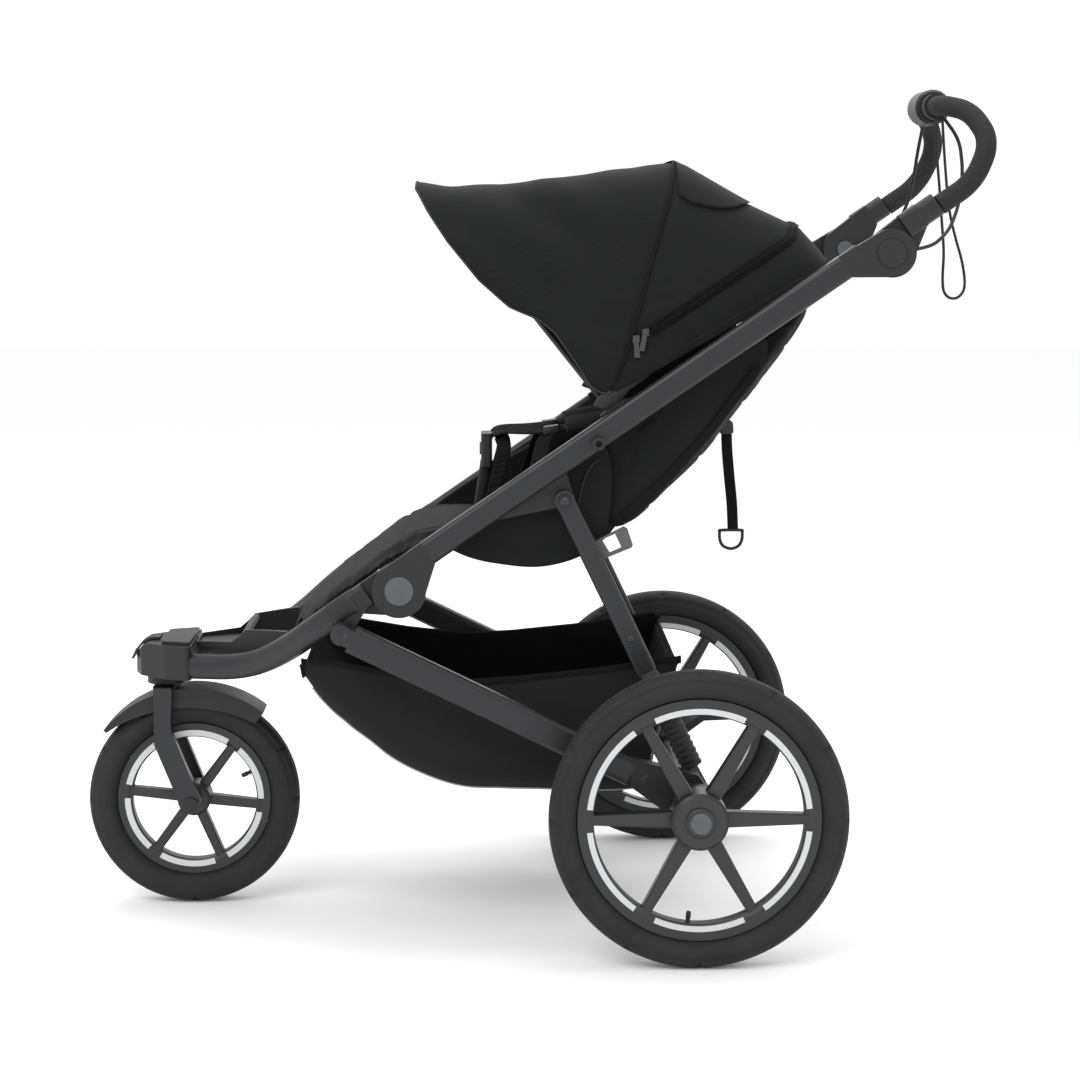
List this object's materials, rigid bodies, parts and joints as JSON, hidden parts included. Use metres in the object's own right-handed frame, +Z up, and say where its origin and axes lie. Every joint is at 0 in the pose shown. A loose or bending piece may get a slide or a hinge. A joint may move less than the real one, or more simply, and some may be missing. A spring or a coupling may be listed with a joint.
{
  "type": "baby stroller",
  "caption": "Three-wheeled all-terrain baby stroller with swivelling front wheel, reclining canopied seat, storage basket and bent handlebar.",
  "frame": {"origin": "on the ground under the middle of the overall length and width, at rest", "axes": "-X towards the front wheel, +Y to the child's right, +Z up"},
  "size_m": [1.2708, 0.704, 1.176],
  "materials": {
    "frame_tube": "satin dark grey anodised tube",
    "casting": "fine-grained black moulding",
    "steel": "turned steel",
    "tyre": "black tread rubber",
    "rim": "satin black moulded rim",
    "reflector": "silver reflecting strip",
    "button": "grey moulded button",
    "cloth": "charcoal woven polyester",
    "cloth_dark": "black mesh and lining",
    "basket_cloth": "charcoal coated nylon",
    "webbing": "black woven webbing",
    "foam": "black foam grip",
    "bellows": "moulded rubber bellows",
    "cable": "black cable sheath"
  },
  "bodies": {
    "upper_frame": {"upper_tubes": "frame_tube", "upper_frame_castings": "casting", "hub_caps": "button", "hinge_pins": "steel", "strut_brackets": "casting", "accessory_sockets": "casting", "canopy_mounts": "casting", "seat_shell": "cloth", "harness_straps": "webbing", "harness_buckle": "casting", "canopy": "cloth"},
    "front_frame": {"front_tubes": "frame_tube", "front_hub_castings": "casting", "nose_casting": "casting", "nose_cover": "casting", "headset_bearings": "steel", "footrest": "casting"},
    "swivel_lock": {"swivel_lock_lever": "casting"},
    "fork_body": {"fork": "frame_tube", "fender": "casting", "front_axle": "steel"},
    "front_wheel": {"front_tyre": "tyre", "front_rim": "rim", "front_reflectors": "reflector", "front_bearings": "steel"},
    "rear_frame": {"rear_legs": "frame_tube", "axle_castings": "casting", "rear_cross_tube": "frame_tube", "basket": "basket_cloth"},
    "pedal": {"brake_pedal": "casting"},
    "rear_wheel_left": {"rear_tyre_left": "tyre", "rear_rim_left": "rim", "rear_reflectors_left": "reflector", "rear_bearings_left": "steel"},
    "rear_wheel_right": {"rear_tyre_right": "tyre", "rear_rim_right": "rim", "rear_reflectors_right": "reflector", "rear_bearings_right": "steel"},
    "release_left": {"wheel_release_left": "button"},
    "release_right": {"wheel_release_right": "button"},
    "strut_body_left": {"strut_left": "frame_tube", "shock_housing_left": "casting", "shock_bellows_left": "bellows", "fold_latch_plate": "button"},
    "strut_body_right": {"strut_right": "frame_tube", "shock_housing_right": "casting", "shock_bellows_right": "bellows"},
    "handle": {"handlebar": "foam", "handlebar_sleeves": "casting", "brake_cable_collars": "casting", "brake_cables": "cable", "wrist_strap": "webbing"},
    "brake_grip": {"twist_brake": "casting"},
    "adjuster_left": {"adjust_button_left": "button"},
    "adjuster_right": {"adjust_button_right": "button"},
    "buckle_release": {"buckle_button": "button"},
    "backrest": {"backrest_shell": "cloth_dark", "recline_strap": "webbing", "recline_buckle_and_ring": "casting"},
    "canopy_frame": {"canopy_bow": "frame_tube"}
  },
  "joints": [
    {"name": "frame_fold", "type": "hinge", "parent": "upper_frame", "child": "front_frame", "pos_m": [-0.17724, 0, 0.4888], "axis": [0, -1, 0], "range_deg": [0, 105], "deforming": ["seat_shell", "harness_straps", "basket", "backrest_shell", "recline_strap", "recline_buckle_and_ring", "shock_bellows_left", "shock_bellows_right"]},
    {"name": "rear_leg_fold", "type": "hinge", "parent": "front_frame", "child": "rear_frame", "pos_m": [-0.25444, 0, 0.434], "axis": [0, -1, 0], "range_deg": [-83.82, 0]},
    {"name": "strut_fold_left", "type": "hinge", "parent": "upper_frame", "child": "strut_body_left", "pos_m": [0.04806, -0.205, 0.611], "axis": [0, -1, 0], "range_deg": [0, 36.5]},
    {"name": "strut_fold_right", "type": "hinge", "parent": "upper_frame", "child": "strut_body_right", "pos_m": [0.04806, 0.205, 0.611], "axis": [0, -1, 0], "range_deg": [0, 36.5]},
    {"name": "front_swivel", "type": "hinge", "parent": "front_frame", "child": "fork_body", "pos_m": [-0.52244, 0, 0.338], "axis": [0, 0, 1], "continuous": true},
    {"name": "front_wheel_spin", "type": "hinge", "parent": "fork_body", "child": "front_wheel", "pos_m": [-0.48294, 0, 0.1525], "axis": [0, 1, 0], "continuous": true},
    {"name": "rear_wheel_spin_left", "type": "hinge", "parent": "rear_frame", "child": "rear_wheel_left", "pos_m": [0.22286, -0.32, 0.2], "axis": [0, 1, 0], "continuous": true},
    {"name": "rear_wheel_spin_right", "type": "hinge", "parent": "rear_frame", "child": "rear_wheel_right", "pos_m": [0.22286, 0.32, 0.2], "axis": [0, 1, 0], "continuous": true},
    {"name": "wheel_release_press_left", "type": "slide", "parent": "rear_wheel_left", "child": "release_left", "axis": [0, 1, 0], "range_m": [0, 0.003], "stiffness_N_per_m": 400},
    {"name": "wheel_release_press_right", "type": "slide", "parent": "rear_wheel_right", "child": "release_right", "axis": [0, -1, 0], "range_m": [0, 0.003], "stiffness_N_per_m": 400},
    {"name": "swivel_lock_turn", "type": "hinge", "parent": "front_frame", "child": "swivel_lock", "pos_m": [-0.52944, 0, 0.382], "axis": [0, 1, 0], "range_deg": [0, 35]},
    {"name": "brake_pedal_turn", "type": "hinge", "parent": "rear_frame", "child": "pedal", "pos_m": [0.20856, 0.062, 0.214], "axis": [0, 1, 0], "range_deg": [0, 18]},
    {"name": "handlebar_tilt", "type": "hinge", "parent": "upper_frame", "child": "handle", "pos_m": [0.49026, 0, 0.9465], "axis": [0, -1, 0], "range_deg": [-60, 20]},
    {"name": "twist_brake_turn", "type": "hinge", "parent": "handle", "child": "brake_grip", "pos_m": [0.57856, 0, 1.151], "axis": [0, 1, 0], "range_deg": [0, 60]},
    {"name": "adjust_press_left", "type": "slide", "parent": "handle", "child": "adjuster_left", "axis": [0, -1, 0], "range_m": [0, 0.004], "stiffness_N_per_m": 400},
    {"name": "adjust_press_right", "type": "slide", "parent": "handle", "child": "adjuster_right", "axis": [0, 1, 0], "range_m": [0, 0.004], "stiffness_N_per_m": 400},
    {"name": "buckle_press", "type": "slide", "parent": "upper_frame", "child": "buckle_release", "axis": [1, 0, 0], "range_m": [0, 0.002], "stiffness_N_per_m": 300},
    {"name": "backrest_recline", "type": "hinge", "parent": "upper_frame", "child": "backrest", "pos_m": [0.10356, 0, 0.566], "axis": [0, 1, 0], "range_deg": [0, 20], "deforming": ["backrest_shell", "seat_shell", "harness_straps", "canopy", "recline_strap"]},
    {"name": "canopy_fold", "type": "hinge", "parent": "upper_frame", "child": "canopy_frame", "pos_m": [0.11356, 0, 0.728], "axis": [0, 1, 0], "range_deg": [0, 70], "deforming": ["canopy"]}
  ],
  "couplings": [
    {"joint": "rear_leg_fold", "follows": "frame_fold", "ratio": -0.79831},
    {"joint": "strut_fold_left", "follows": "frame_fold", "ratio": 0.34759},
    {"joint": "strut_fold_right", "follows": "frame_fold", "ratio": 0.34759}
  ]
}
